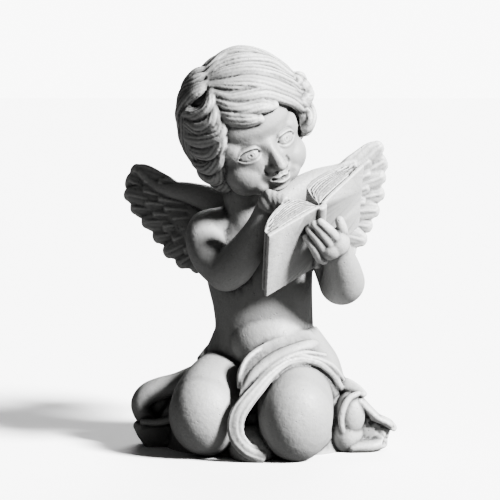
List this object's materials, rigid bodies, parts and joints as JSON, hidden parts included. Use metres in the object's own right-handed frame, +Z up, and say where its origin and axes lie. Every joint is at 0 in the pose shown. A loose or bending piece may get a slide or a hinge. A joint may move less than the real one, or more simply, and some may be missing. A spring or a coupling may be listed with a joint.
{
  "type": "angel figurine",
  "caption": "Cast grey figurine of a kneeling winged cherub reading an open book, with a cloth round the hips.",
  "frame": {"origin": "on the floor under the middle of the figurine's bounding box", "axes": "+Z up, the knees and the face towards -Y, the figure's left hand on +X"},
  "size_m": [0.101, 0.0892, 0.1489],
  "materials": {
    "cast_stone_grey": "matt cast stone resin, unpainted, slightly rough"
  },
  "bodies": {
    "root": {"cherub_figurine": "cast_stone_grey"}
  },
  "joints": []
}
